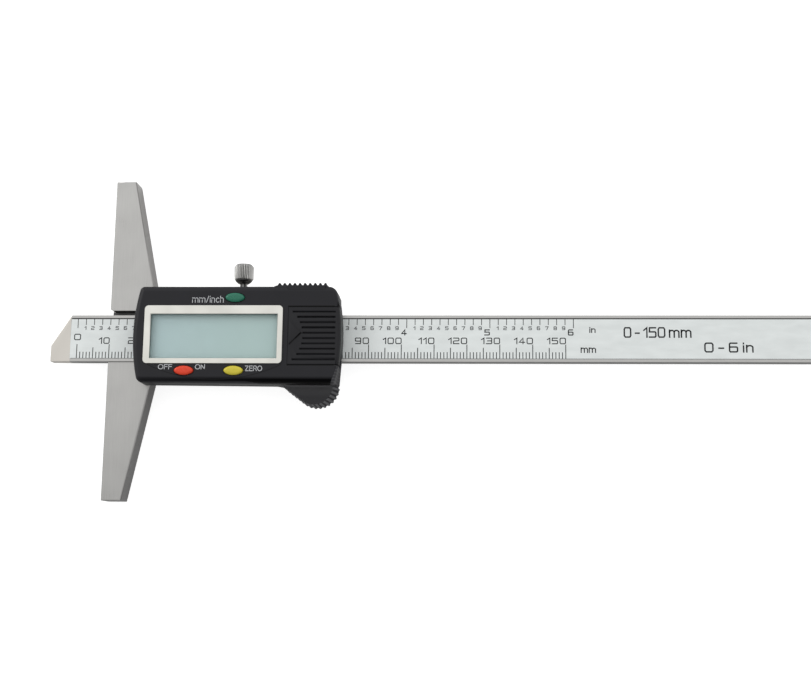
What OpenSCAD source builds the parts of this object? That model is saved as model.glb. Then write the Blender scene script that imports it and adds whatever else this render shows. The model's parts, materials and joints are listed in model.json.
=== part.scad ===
// Digital depth caliper with a 150 mm beam, lying on its back, drawn at the depth it shows.
// Millimetres. The origin is on the reference face, at the middle of the beam's width, level with the back.
// +X runs along the beam towards its far end, +Z points out of the display.

/* [Beam] */
// Length of the beam from the tip to the far end
beam_length = 240; // [230:1:300]
// Width of the beam
beam_width = 14.4; // [13:0.1:15.4]
// Thickness of the beam
beam_thickness = 4; // [3:0.1:5]
// Width of the square end of the tip
tip_flat = 4.9; // [3:0.1:7]
// Length of the slanted cut at the tip
tip_slant = 6; // [3:0.1:7]
// Bare steel beside the scale, on each long edge
film_margin = 0.95; // [0.5:0.05:1.5]
// From the tip to the start of the scale film
tip_to_film = 5.95; // [4:0.05:7]
// From the tip to the zero line of both scales
tip_to_zero = 8.05; // [7.5:0.05:12]
// Longest depth that the scale measures
measuring_range = 150; // [50:10:150]
// Depth at which the caliper is drawn
depth_shown = 17.8; // [2:0.1:60]

/* [Scale] */
// Thickness of the capacitive strip under the scale
stator_thickness = 0.4; // [0.3:0.05:0.6]
// Thickness of the printed film
film_thickness = 0.08; // [0.06:0.01:0.2]
// Width of one graduation line
tick_width = 0.2; // [0.12:0.01:0.3]
// Length of a 1 mm line
tick_short = 1.95; // [1:0.05:2.4]
// Length of a 5 mm line
tick_medium = 3.3; // [2.5:0.05:3.6]
// Length of a 10 mm line
tick_long = 4.3; // [3.7:0.05:5]

/* [Depth base] */
// Length of the reference face, across the beam
base_length = 99.3; // [80:0.1:150]
// How far the middle of the base lies above the middle of the beam
base_offset = 0.3; // [0:0.05:1]
// Width of the base at its ends
base_end_width = 6.1; // [4:0.1:8]
// Width of the base at the middle
base_middle_width = 16.3; // [13:0.1:20]
// Thickness of the base and of the slider behind the housing
base_thickness = 8; // [7.6:0.1:10]
// How far the scale stands above the front of the base
scale_rise = 0.5; // [0.2:0.05:0.55]
// Room beside the beam for the gib strip
gib_room = 1.5; // [1.3:0.05:1.8]
// Thickness of the gib strip
gib_thickness = 1.1; // [0.8:0.05:1.2]
// Bevel on the edges of the base
base_bevel = 0.4; // [0.1:0.05:0.6]

/* [Housing] */
// From the reference face to the left end of the housing
housing_start = 9.2; // [8:0.1:13]
// Width of the housing above the bezel
margin_top = 6.1; // [5.7:0.05:7]
// Width of the housing below the bezel
margin_bottom = 5.95; // [5.6:0.05:7]
// From the left end of the housing to the bezel
margin_left = 3.7; // [2.2:0.1:5]
// From the bezel to the battery cover
margin_cover = 1.6; // [1.2:0.05:3]
// Height of the housing above the scale
housing_height = 8; // [7.8:0.1:10]
// Radius of the bowed ends, seen from the front
end_radius = 60; // [40:1:90]
// Radius of the upper right corner, seen from the front
corner_upper_right = 2.8; // [1.5:0.1:4]
// Radius of the lower right corner, above the thumb rest
corner_lower_right = 1; // [0.5:0.1:2]
// Radius of the upper left corner, seen from the front
corner_upper_left = 1.5; // [1:0.1:3]
// Radius of the lower left corner, seen from the front
corner_lower_left = 2.2; // [1.5:0.1:4]
// How much lower the bottom edge lies at its right end than at its left
bottom_slant = 0.5; // [0:0.05:0.6]
// Radius of the front edge
edge_radius = 1.7; // [0.6:0.1:2.2]
// How far the front edge's rounding reaches in from the right end
end_rounding = 1; // [0.4:0.1:1.4]
// Thickness of the moulded walls
wall = 1.5; // [1.3:0.05:1.8]
// Gap between the housing's rim and the base
rim_gap = 0.3; // [0.2:0.05:0.5]

/* [Thumb grips] */
// Reach of the thumb rest below the housing
rest_reach = 6.75; // [4:0.1:9]
// Radius of the thumb rest
rest_radius = 6.4; // [5:0.1:8]
// Thickness of the thumb rest
rest_thickness = 3.9; // [2.5:0.1:5]
// Number of teeth on the rack above the battery cover
rack_teeth = 10; // [6:1:12]
// Distance between two teeth
rack_pitch = 1.55; // [1.2:0.01:1.6]
// Height of the rack's teeth
rack_tooth = 0.65; // [0.2:0.05:0.8]

/* [Display] */
// Length of the display window
window_length = 38.4; // [34:0.1:46]
// Width of the display window
window_width = 13.4; // [12.6:0.1:15]
// Bezel beside the window on the left
bezel_left = 1.95; // [1.2:0.05:3]
// Bezel beside the window on the right
bezel_right = 1.6; // [1.2:0.05:3]
// Bezel above the window
bezel_top = 2.65; // [1.5:0.05:3.2]
// Bezel below the window
bezel_bottom = 1.55; // [1.2:0.05:3]
// How far the bezel stands above the housing
bezel_rise = 0.4; // [0.2:0.05:0.8]
// Radius of the bezel's outer corners
bezel_corner = 1.2; // [0.5:0.1:1.9]

/* [Buttons] */
// Length of a button
button_length = 5.8; // [5:0.1:7]
// Width of a button
button_width = 2.75; // [2.2:0.1:3.1]
// How far a button stands above the housing
button_rise = 0.75; // [0.6:0.05:1.2]
// Travel of a button
button_travel = 0.5; // [0.3:0.05:0.55]
// Height of the switch under a button
switch_height = 1.2; // [0.8:0.1:2]

/* [Battery] */
// Diameter of the button cell
cell_diameter = 11.6; // [9.5:0.1:11.6]
// Height of the button cell
cell_height = 5.4; // [3:0.1:5.4]
// Length of the battery cover
cover_length = 16.1; // [15.9:0.1:20]
// Number of grip grooves on the battery cover
cover_grooves = 10; // [6:1:12]
// Depth of a grip groove
groove_depth = 0.65; // [0.2:0.05:0.8]

/* [Lock screw] */
// Distance of the lock screw from the reference face
lock_x = 40.9; // [36:0.1:46]
// Diameter of the knurled head
lock_head_diameter = 5.95; // [4:0.05:9]
// Length of the knurled head
lock_head_length = 4.75; // [3:0.05:8]
// Gap between the housing and the taper under the head
lock_reach = 2.3; // [1:0.1:6]
// Diameter of the thread
lock_thread_diameter = 2.5; // [2:0.1:3]
// Number of ridges in the knurl
lock_ridges = 32; // [16:1:40]

/* [Fits] */
// Gap beside and under the sliding beam
slide_gap = 0.05; // [0.03:0.01:0.08]
// Gap round a screw thread
thread_gap = 0.04; // [0.02:0.01:0.08]
// Gap round parts that drop into the housing
drop_gap = 0.12; // [0.08:0.01:0.2]
// Gap between the scale and what passes over it
scale_gap = 0.15; // [0.1:0.01:0.2]

/* [Hidden] */
$fn = 48;
cut = 1;          // how far a cutting tool runs past what it cuts
sink = 0.1;       // how far one feature of a solid runs into the next

// Levels above the back
scale_level = base_thickness + scale_rise;
beam_bottom = scale_level - beam_thickness;
beam_middle = scale_level - beam_thickness / 2;
land_level = scale_level + scale_gap;
keeper_thickness = 0.5;
board_level = land_level + keeper_thickness;
board_thickness = 0.8;
board_top = board_level + board_thickness;
rim_level = base_thickness + rim_gap;
front_level = scale_level + housing_height;
ceiling_level = front_level - wall;

// The beam along X
tip_x = -depth_shown;
zero_x = tip_x + tip_to_zero;
far_x = tip_x + beam_length;
film_width = beam_width - 2 * film_margin;
film_level = scale_level - 0.02;
pocket_level = film_level - film_thickness - stator_thickness;

// The bezel and the window
bezel_length = bezel_left + window_length + bezel_right;
bezel_width = bezel_bottom + window_width + bezel_top;
bezel_x = housing_start + margin_left;
bezel_y = -bezel_width / 2;
window_x = bezel_x + bezel_left;
window_y = bezel_y + bezel_bottom;
bezel_top_level = front_level + bezel_rise;
bezel_lap = 0.8;          // how far the bezel's rim lies over the housing
bezel_seat = 0.5;         // depth of the recess that the rim lies in
lens_thickness = 0.6;
lcd_thickness = 1.6;
lens_top = front_level - bezel_seat - 0.3;
lens_level = lens_top - lens_thickness;
lcd_top = lens_level - 0.05;      // the lens rests on the display's rim of tape
lcd_level = lcd_top - lcd_thickness;
frame_wall = 1;           // wall that holds the display behind the window

// The housing seen from the front
cover_x = bezel_x + bezel_length + margin_cover;
housing_end = cover_x + cover_length;
housing_low = bezel_y - margin_bottom;
housing_high = bezel_y + bezel_width + margin_top;
housing_mid = (housing_low + housing_high) / 2;
inner_low = housing_low + wall;
inner_high = housing_high - wall;

// The slider part of the base
slider_end = housing_end - wall - 0.3;
slider_low = inner_low + 0.4;
slider_high = inner_high + 0.2;
channel_low = -beam_width / 2 - slide_gap;
channel_high = beam_width / 2 + gib_room;
channel_floor = beam_bottom - slide_gap;
land_start = bezel_x + 2.1;
land_end = slider_end - 2.4;
land_high = inner_high - 0.3;
ledge_low = (slider_low + channel_low) / 2;
ledge_high = (channel_high + land_high) / 2;

// Screws through the back into the housing
boss_radius = 1.9;
housing_screw_radius = 0.8;
housing_screw_head = 1.6;
boss_left = bezel_x + 4.1;
boss_right = slider_end - 4.3;
boss_places = [for (x = [boss_left, boss_right], y = [ledge_low, ledge_high]) [x, y]];

// Screws that hold the board and the keeper plate
board_screw_radius = 0.7;
board_screw_head = 1.25;
board_start = boss_left + boss_radius + 0.8;
board_end = cover_x + 0.2;
board_low = inner_low + 0.3;
board_places = [
    [board_start + 2.2, ledge_high], [board_end - 3.2, ledge_high],
    [(board_start + board_end) / 2 - 5, ledge_low], [board_end - 3.2, ledge_low]
];

// Buttons: place of each on the front
button_top_y = (bezel_y + bezel_width + housing_high) / 2 - 0.6;
button_low_y = (housing_low + bezel_y) / 2 + 0.8;
mode_place = [bezel_x + 27.3, button_top_y];
power_place = [bezel_x + 12.5, button_low_y];
zero_place = [bezel_x + 27.5, button_low_y];
button_flange = 0.5;
button_gap = 0.2;
flange_lap = 0.35;

// The battery bay
cover_gap = 0.1;
cover_joint = 0.22;       // the joint that shows beside the cover
cover_low = bezel_y - 0.4;
cover_high = bezel_y + bezel_width - 0.25;
cover_mid = (cover_low + cover_high) / 2;
cover_thickness = 1.3;
cover_level = front_level - cover_thickness;
tongue = 0.7;
tongue_thickness = 0.5;
tray_level = cover_level - cover_gap;
tray_thickness = 1;
cell_gap = 0.25;
cell_radius = cell_diameter / 2;
cell_x = cover_x + 7.6;
cell_level = tray_level - 0.15 - cell_height;
bay_wall = 0.8;
bay_level = board_level + 0.35;
lip_level = front_level - 4.1;
lip_x = housing_end - wall;

// The thumb rest
rest_x = housing_end - rest_radius - 1;
rest_y = housing_low - rest_reach + rest_radius;
rest_slope = 37;          // slope of the rest's long flank, in degrees
rest_top_radius = rest_radius - 0.7;
rest_top_x = rest_x - 0.9;
rest_top_y = rest_y + 0.1;
rest_level = rim_level + rest_thickness;

// The lock screw, along Y through the slider's upper wall
lock_radius = lock_thread_diameter / 2;
lock_neck_radius = lock_radius - 0.15;
lock_head_radius = lock_head_diameter / 2;
lock_z = beam_middle;
lock_taper = 1.5;
lock_start = channel_high + 0.05;
lock_taper_y = housing_high + lock_reach;
lock_head_y = lock_taper_y + lock_taper;

// The stop at the far end of the beam
stop_length = 8;
stop_thickness = 1.6;
stop_screw_radius = 0.9;
stop_inset = 0.8;
stop_x = min(slider_end + measuring_range - depth_shown + 2, far_x - stop_length - 0.3);
stop_places = [for (s = [-1, 1]) [stop_x + stop_length / 2, s * beam_width / 4]];

inch = 25.4;

// Points on an arc in degrees, less trim points at each end
function arc(centre, r, from, to, steps, trim = 0) =
    [for (i = [trim:steps - trim], a = from + (to - from) * i / steps) centre + r * [cos(a), sin(a)]];

// Points of an ellipse about a place
function ellipse(centre, a, b, steps) =
    [for (i = [0:steps - 1]) centre + [a * cos(360 * i / steps), b * sin(360 * i / steps)]];

// Centre of a corner's circle: level with y, at a reach from the centre of a bowed end
function corner(bow, side, y, reach) = [bow[0] + side * sqrt(pow(reach, 2) - pow(y - bow[1], 2)), y];

// The housing's outline seen from the front, drawn in by inset, and by end_inset at its right end
function housing_outline(inset, end_inset) =
    let (
        left = [housing_start + end_radius, housing_mid], right = [housing_end - end_radius, housing_mid],
        left_bow = end_radius - inset, right_bow = end_radius - end_inset,
        r_tl = max(corner_upper_left - inset, 0.2), r_bl = max(corner_lower_left - inset, 0.2),
        r_br = max(corner_lower_right - inset, 0.2), r_tr = max(corner_upper_right - inset, 0.2),
        tl = corner(left, -1, housing_high - inset - r_tl, left_bow - r_tl),
        bl = corner(left, -1, housing_low + bottom_slant / 2 + inset + r_bl, left_bow - r_bl),
        br = corner(right, 1, housing_low - bottom_slant / 2 + inset + r_br, right_bow - r_br),
        tr = corner(right, 1, housing_high - inset - r_tr, right_bow - r_tr),
        a_tl = atan2(tl[1] - left[1], left[0] - tl[0]), a_bl = atan2(left[1] - bl[1], left[0] - bl[0]),
        a_br = atan2(right[1] - br[1], br[0] - right[0]), a_tr = atan2(tr[1] - right[1], tr[0] - right[0])
    )
    concat(
        arc(tl, r_tl, 90, 180 - a_tl, 6), arc(left, left_bow, 180 - a_tl, 180 + a_bl, 12, 1),
        arc(bl, r_bl, 180 + a_bl, 270, 6), arc(br, r_br, 270, 360 - a_br, 6),
        arc(right, right_bow, -a_br, a_tr, 12, 1), arc(tr, r_tr, a_tr, 90, 6)
    );

// A rectangle with round corners, from its lower left corner
module rounded_rect(length, width, r) {
    translate([r, 0]) square([length - 2 * r, width]);
    translate([0, r]) square([length, width - 2 * r]);
    for (x = [r, length - r], y = [r, width - r]) translate([x, y]) circle(r);
}

// A box given by its lowest and highest corners
module block(low, high) {
    translate(low) cube(high - low);
}

// A solid whose skin runs through rings of points, each counter-clockwise at its level
module loft(rings, levels) {
    n = len(rings[0]);
    last = len(rings) - 1;
    polyhedron(
        points = [for (i = [0:last], p = rings[i]) [p[0], p[1], levels[i]]],
        faces = concat(
            [[for (k = [0:n - 1]) k]],
            [for (i = [0:last - 1], k = [0:n - 1])
                [i * n + k, (i + 1) * n + k, (i + 1) * n + (k + 1) % n, i * n + (k + 1) % n]],
            [[for (k = [n - 1:-1:0]) last * n + k]]
        )
    );
}

// A bar that bevels the level edge from a to b at height z; side and up say on which sides of it the air is
module edge_bevel(a, b, z, size, side, up) {
    run = b - a;
    translate([a[0], a[1], z]) rotate([0, 0, atan2(run[1], run[0])]) rotate([atan2(up, side), 0, 0])
        translate([-size, -size / sqrt(2), -cut]) cube([norm(run) + size, size + cut, 2 * cut]);
}

// A screw with a flat head: its axis is Z, with the head's top at 0 and the shank pointing down
module pan_screw(head_r, head_h, r, length, slot) {
    difference() {
        union() {
            translate([0, 0, -head_h]) cylinder(h = head_h, r = head_r, $fn = 32);
            translate([0, 0, -head_h - length]) cylinder(h = length + sink, r = r, $fn = 24);
        }
        for (turn = [0, 90]) rotate([0, 0, turn])
            translate([-head_r * 0.65, -slot / 2, -head_h * 0.5]) cube([head_r * 1.3, slot, head_h]);
    }
}

// The tapering bar of the depth base seen from the front
module base_plan() {
    half = base_length / 2;
    translate([0, base_offset]) polygon([
        [0, -half], [base_end_width, -half], [base_middle_width, 0], [base_end_width, half], [0, half]
    ]);
}

// Where the bar's slanted side meets the slider, above (1) or below (-1)
function base_side(s) =
    let (y = s > 0 ? slider_high + 0.1 : slider_low - 0.1)
    [base_middle_width - (base_middle_width - base_end_width) * abs(y - base_offset) / (base_length / 2), y];

// The base and the slider are one piece of steel, with an open channel for the beam
module depth_base() {
    half = base_length / 2;
    color("#b4b4b0") difference() {
        union() {
            linear_extrude(base_thickness) base_plan();
            block([sink, slider_low, 0], [slider_end, slider_high, base_thickness]);
            block([land_start, slider_low, sink], [land_end, slider_high - 0.5, land_level]);
        }
        block([-cut, channel_low, channel_floor], [slider_end + cut, channel_high, land_level + cut]);
        // lead-in at the corner of the channel
        translate([0, channel_high, channel_floor]) linear_extrude(base_thickness)
            polygon([[-cut, -cut], [0.9, -cut], [0.9, 0], [-cut, 0.5 * (0.9 + cut) / 0.9]]);
        for (z = [0, base_thickness], s = [-1, 1]) {
            end = base_offset + s * half;
            edge_bevel([base_end_width, end], base_side(s), z, base_bevel, s, z > 0 ? 1 : -1);
            edge_bevel([0, end], [base_end_width, end], z, base_bevel / 2, s, z > 0 ? 1 : -1);
        }
        lock_hole(lock_x, lock_radius);
        for (x = gib_places) lock_hole(x, gib_screw_radius);
        for (p = boss_places) translate(p) {
            translate([0, 0, -cut]) cylinder(h = land_level + 2 * cut, r = housing_screw_radius + drop_gap);
            translate([0, 0, -cut]) cylinder(h = cut + 1.3, r = housing_screw_head + drop_gap);
        }
        for (p = board_places) translate([p[0], p[1], base_thickness - 3])
            cylinder(h = 3 + cut, r = board_screw_radius + thread_gap);
    }
}

// A threaded hole through the slider's upper wall
module lock_hole(x, r) {
    translate([x, channel_high - cut, lock_z]) rotate([-90, 0, 0])
        cylinder(h = slider_high - channel_high + 2 * cut, r = r + thread_gap);
}

gib_places = [land_start + 9, land_end - 9];
gib_screw_radius = 1.2;
gib_start = land_start + 2;
gib_end = land_end - 0.5;
gib_low = beam_width / 2 + slide_gap;

// Bronze strip that takes up the play beside the beam
module gib_strip() {
    color("#b08d4a") difference() {
        block([gib_start, gib_low, channel_floor + slide_gap],
              [gib_end, gib_low + gib_thickness, base_thickness - slide_gap]);
        for (x = gib_places) translate([x, gib_low + gib_thickness + 0.6, lock_z]) sphere(0.9);
    }
}

// Two slotted grub screws that press on the gib strip
module gib_screws() {
    low = gib_low + gib_thickness;
    color("#3c3c3e") for (x = gib_places) difference() {
        translate([x, low, lock_z]) rotate([-90, 0, 0])
            cylinder(h = slider_high - 0.3 - low, r = gib_screw_radius, $fn = 32);
        block([x - 0.2, slider_high - 1, lock_z - 2], [x + 0.2, slider_high, lock_z + 2]);
    }
}

keeper_start = boss_left + boss_radius + 0.3;
sensor_start = board_start + 3.5;
sensor_end = board_end - 7;
sensor_half = film_width / 2 - 1;

// Thin steel plate that keeps the beam in its channel, with a window for the sensor
module keeper_plate() {
    color("#8e9092") translate([0, 0, land_level]) linear_extrude(keeper_thickness) difference() {
        translate([keeper_start, slider_low + 0.3])
            square([board_end + 0.2 - keeper_start, land_high - slider_low - 0.6]);
        translate([sensor_start, -sensor_half]) square([sensor_end - sensor_start, 2 * sensor_half]);
        for (p = board_places) translate(p) circle(board_screw_radius + drop_gap);
    }
}

// Circuit board: the pad under it carries the electrodes that read the strip in the beam
module circuit_board() {
    color("#2f5d3a") {
        difference() {
            block([board_start, board_low, board_level], [board_end, land_high, board_top]);
            for (p = board_places) translate([p[0], p[1], board_level - cut])
                cylinder(h = board_thickness + 2 * cut, r = board_screw_radius + drop_gap);
        }
        block([sensor_start + drop_gap, -sensor_half + drop_gap, scale_level + scale_gap],
              [sensor_end - drop_gap, sensor_half - drop_gap, board_level + sink]);
    }
}

module board_screws() {
    head = 0.6;
    color("#8a8a88") for (p = board_places) translate([p[0], p[1], board_top + head])
        pan_screw(board_screw_head, head, board_screw_radius, board_top - base_thickness + 2.5, 0.35);
}

// Black cap of resin over the measuring chip
module chip() {
    color("#151515") translate([(sensor_start + sensor_end) / 2, 0, board_top]) rotate_extrude()
        polygon([[0, 0], [4.4, 0], [4, 0.4], [3.2, 0.7], [2, 0.92], [0, 1]]);
}

module key_switches() {
    for (p = [mode_place, power_place, zero_place]) {
        color("#c9c9c4") translate([p[0] - 1.5, p[1] - 1.1, board_top])
            cube([3, 2.2, switch_height - 0.3]);
        color("#c9c9c4") translate([p[0], p[1], board_top + switch_height - 0.3 - sink])
            cylinder(h = 0.3 + sink, r = 0.7);
    }
}

// Soft strips that carry the display's signals up from the board
module zebra_strips() {
    for (y = [lcd_y + 0.3, lcd_y + lcd_width - 1.5])
        color("#d9cfa8") block([board_start + 1.2, y, board_top], [board_end - 6.5, y + 1.2, lcd_level]);
}

// The display and its lens drop into a frame behind the window
frame_x = bezel_x + bezel_lap;
frame_y = bezel_y + bezel_lap;
frame_length = bezel_length - 2 * bezel_lap;
frame_width = bezel_width - 2 * bezel_lap;
lcd_y = frame_y + drop_gap;
lcd_width = frame_width - 2 * drop_gap;

// Fills the display's frame, less the drop-in gap, between two levels
module frame_fill(low, high, gap) {
    block([frame_x + gap, frame_y + gap, low], [frame_x + frame_length - gap, frame_y + frame_width - gap, high]);
}

module lcd_panel() {
    color("#a8bfc0") frame_fill(lcd_level, lcd_top, drop_gap);
}

module display_window() {
    color("#dfe9ea", 0.4) frame_fill(lens_level, lens_top, drop_gap);
}

// The window's outline, grown by some amount
function window_ring(grow) =
    let (x = window_x - grow, y = window_y - grow, l = window_length + 2 * grow, w = window_width + 2 * grow)
    [[x, y], [x + l, y], [x + l, y + w], [x, y + w]];

// Pale frame round the display, with a skirt that holds the lens down
module bezel() {
    color("#dcdbd7") difference() {
        union() {
            translate([bezel_x, bezel_y, front_level - bezel_seat])
                linear_extrude(bezel_seat + bezel_rise) rounded_rect(bezel_length, bezel_width, bezel_corner);
            frame_fill(lens_top, front_level - bezel_seat + sink, drop_gap);
        }
        block([window_x, window_y, lens_top - cut],
              [window_x + window_length, window_y + window_width, bezel_top_level + cut]);
        // bevelled inner lip
        loft([window_ring(-sink), window_ring(0.35)], [bezel_top_level - 0.35, bezel_top_level + sink]);
    }
}

// The outside of the housing: its plan drawn in step by step to round the front edge
module housing_body() {
    turns = [0:15:90];
    loft(
        concat(
            [housing_outline(0, 0)],
            [for (a = turns) housing_outline(edge_radius * (1 - cos(a)), end_rounding * (1 - cos(a)))]
        ),
        concat([rim_level], [for (a = turns) front_level - edge_radius * (1 - sin(a))])
    );
}

// A ring of the thumb rest: a faint lead-in, a slanted flank, a round nose and a run up into the housing's end
function rest_ring(x, y, r) =
    let (
        nose = 270 - rest_slope, start = [x, y] + r * [cos(nose), sin(nose)],
        foot = start + (housing_low - 0.45 - start[1]) * [-1 / tan(rest_slope), 1]
    )
    concat(
        [[x - r, housing_low + 5], [foot[0] - 4.5, housing_low + 0.4], [foot[0] - 2.2, housing_low - 0.05], foot],
        arc([x, y], r, nose, 358, 18), [[x + r + 0.7, housing_low + 8.8]]
    );

// The thumb rest, with grip grooves that follow its sloping edge
module thumb_rest() {
    nose = 270 - rest_slope;
    groove = 0.42;
    pitch = 1.35;
    low = [rest_x, rest_y, rim_level];
    top = [rest_top_x, rest_top_y, rest_level];
    low_reach = rest_radius + groove - 0.2;
    top_reach = rest_top_radius + groove - 0.36;
    turns = floor((360 - nose) * PI / 180 * rest_radius / pitch);
    difference() {
        loft(
            [rest_ring(rest_x, rest_y, rest_radius), rest_ring(rest_top_x, rest_top_y, rest_top_radius)],
            [rim_level, rest_level]
        );
        for (i = [0:turns]) {
            a = nose + i * (360 - nose) / turns;
            edge_groove(low + low_reach * [cos(a), sin(a), 0], top + top_reach * [cos(a), sin(a), 0], groove);
        }
        for (i = [1:5]) {
            step = i * pitch * [-cos(rest_slope), sin(rest_slope), 0];
            edge_groove(low + low_reach * [cos(nose), sin(nose), 0] + step,
                        top + top_reach * [cos(nose), sin(nose), 0] + step, groove);
        }
    }
}

// A round groove along the line from a to b
module edge_groove(a, b, r) {
    run = b - a;
    reach = norm(run);
    translate(a) rotate([0, acos(run[2] / reach), atan2(run[1], run[0])])
        translate([0, 0, -cut]) cylinder(h = reach + 2 * cut, r = r, $fn = 16);
}

rack_start = housing_end - 19;
rack_end = rack_start + (rack_teeth - 1) * rack_pitch;
rack_foot = 0.3;

// The row of teeth for the finger, on the upper side
module thumb_rack() {
    valley = housing_high + rack_foot;
    translate([0, 0, rim_level]) linear_extrude(front_level - rim_level - 0.6) polygon(concat(
        [[rack_start - 1.6, housing_high - wall], [rack_start - 1.6, housing_high - 0.05]],
        [for (i = [0:rack_teeth - 1], p = [[-0.36, 0], [-0.14, rack_tooth], [0.14, rack_tooth], [0.36, 0]])
            [rack_start + (i + p[0]) * rack_pitch, valley + p[1]]],
        [[rack_end + 1.1, housing_high - 0.2], [rack_end + 1.1, housing_high - wall]]
    ));
    // flat ledge over the rounded edge, beside the battery cover
    block([cover_x - 0.3, housing_high - 1.15, ceiling_level], [rack_end, housing_high, front_level - 0.06]);
}

// The walls inside the housing: display frame, screw bosses and battery bay
module housing_ribs() {
    top = ceiling_level + sink;
    block([frame_x - frame_wall, frame_y - frame_wall, lcd_level + 0.4],
          [frame_x + frame_length + frame_wall, frame_y + frame_width + frame_wall, top]);
    for (p = boss_places) translate([p[0], p[1], land_level]) cylinder(h = top - land_level, r = boss_radius);
    block([cover_x - 1, cover_low - tongue - 1, tray_level - tray_thickness],
          [lip_x - cover_gap, cover_high + tongue + 1, top]);
    translate([cell_x, cover_mid, bay_level])
        cylinder(h = tray_level - bay_level, r = cell_radius + cell_gap + bay_wall, $fn = 64);
}

// Everything cut out of the housing after its walls and ribs are joined
module housing_cuts() {
    high = front_level + cut;
    frame_fill(lcd_level - cut, high, 0);
    translate([bezel_x - drop_gap, bezel_y - drop_gap, front_level - bezel_seat]) linear_extrude(high)
        rounded_rect(bezel_length + 2 * drop_gap, bezel_width + 2 * drop_gap, bezel_corner + drop_gap);
    for (p = [mode_place, power_place, zero_place])
        translate([0, 0, ceiling_level - cut]) linear_extrude(high)
            polygon(ellipse(p, button_length / 2 + button_gap, button_width / 2 + button_gap, 32));
    for (p = boss_places) translate([p[0], p[1], land_level - cut])
        cylinder(h = ceiling_level - land_level, r = housing_screw_radius + thread_gap);
    // the battery cover's opening, its grooves and the gap in the end wall
    block([cover_x, cover_low, tray_level], [housing_end + cut, cover_high, high]);
    block([cover_x, cover_low - tongue - cover_gap, tray_level],
          [housing_end + cut, cover_high + tongue + cover_gap, tray_level + tongue_thickness + 2 * cover_gap]);
    block([lip_x, cover_low, lip_level], [housing_end + cut, cover_high, high]);
    translate([cell_x, cover_mid, bay_level - cut])
        cylinder(h = high, r = cell_radius + cell_gap, $fn = 64);
    block([cell_x - cell_radius - 2, cover_mid - 2.2, bay_level - cut],
          [cell_x, cover_mid + 2.2, tray_level - tray_thickness + 0.3]);
    // clearance over the beam at both ends
    for (x = [housing_start - cut, lip_x - cut])
        block([x, channel_low - 0.3, rim_level - cut], [x + wall + 4 * cut, channel_high, scale_level + 0.4]);
    // curved line under the buttons
    translate([bezel_x + bezel_length / 2 + 0.6, housing_low + 48.65, front_level - 0.2]) linear_extrude(high)
        intersection() {
            difference() {
                circle(47.66, $fn = 180);
                circle(47.5, $fn = 180);
            }
            translate([-20.2, -48]) square([40.4, 6]);
        }
}

// The moulded housing
module housing() {
    color("#343436") difference() {
        union() {
            difference() {
                housing_body();
                translate([0, 0, rim_level - cut])
                    linear_extrude(ceiling_level - rim_level + cut) polygon(housing_outline(wall, wall));
            }
            housing_ribs();
            difference() {
                union() {
                    thumb_rest();
                    thumb_rack();
                }
                translate([0, 0, rim_level - cut])
                    linear_extrude(ceiling_level - rim_level + cut) polygon(housing_outline(wall / 2, wall / 2));
            }
        }
        housing_cuts();
    }
}

// Self-tapping screws from the back into the housing's bosses
module housing_screws() {
    color("#6f6f6e") for (p = boss_places) translate([p[0], p[1], 0.3]) mirror([0, 0, 1])
        pan_screw(housing_screw_head, 1, housing_screw_radius, land_level + 3, 0.4);
}

module battery() {
    color("#c8c8c4") translate([cell_x, cover_mid, cell_level]) rotate_extrude($fn = 64) polygon([
        [0, 0], [cell_radius - 1.2, 0], [cell_radius - 1, 0.25], [cell_radius, 0.25],
        [cell_radius, cell_height - 0.2], [cell_radius - 0.2, cell_height], [0, cell_height]
    ]);
}

contact_thickness = 0.25;

// Spring leaf against the side of the cell, with a foot on the board
module battery_side_contact() {
    leaf_x = cell_x - cell_radius - 0.1;
    color("#c2a552") {
        block([leaf_x - contact_thickness, cover_mid - 1.8, board_top], [leaf_x, cover_mid + 1.8, tray_level - 1.6]);
        block([leaf_x - 3.5, cover_mid - 1.8, board_top], [leaf_x, cover_mid + 1.8, board_top + contact_thickness]);
    }
}

// Spring leaf under the cell, bent up and over the edge of the board
module battery_base_contact() {
    low = cover_mid - 5.2;
    high = cover_mid - 2.7;
    color("#c2a552") {
        block([board_end + 0.1, low, cell_level - 0.1 - contact_thickness], [cell_x + 3, high, cell_level - 0.1]);
        block([board_end + 0.1, low, cell_level - 0.1 - contact_thickness],
              [board_end + 0.1 + contact_thickness, high, board_top + contact_thickness]);
        block([board_end - 3, low, board_top], [board_end + 0.1 + contact_thickness, high, board_top + contact_thickness]);
    }
}

// The plan of the beam from a start line to an end line, with the slanted tip
module beam_plan() {
    half = beam_width / 2;
    polygon([
        [tip_x, -half], [far_x, -half], [far_x, half], [tip_x + tip_slant, half], [tip_x, tip_flat - half]
    ]);
}

// The plan of the film and of the strip under it
module film_plan() {
    half = film_width / 2;
    lead = tip_x + tip_to_film;
    polygon([[lead, -half], [far_x, -half], [far_x, half], [lead, half]]);
}

// Steel beam with a shallow pocket for the strip and the film
module beam() {
    color("#cfccc4") difference() {
        translate([0, 0, beam_bottom]) linear_extrude(beam_thickness) beam_plan();
        translate([0, 0, pocket_level]) linear_extrude(beam_thickness) union() {
            film_plan();
            translate([far_x - sink, -film_width / 2]) square([cut, film_width]);
        }
        for (p = stop_places) translate([p[0], p[1], beam_bottom - cut])
            cylinder(h = cut + 2, r = stop_screw_radius + thread_gap);
    }
}

module stator_strip() {
    color("#8c6d3f") translate([0, 0, pocket_level]) linear_extrude(stator_thickness) film_plan();
}

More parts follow.
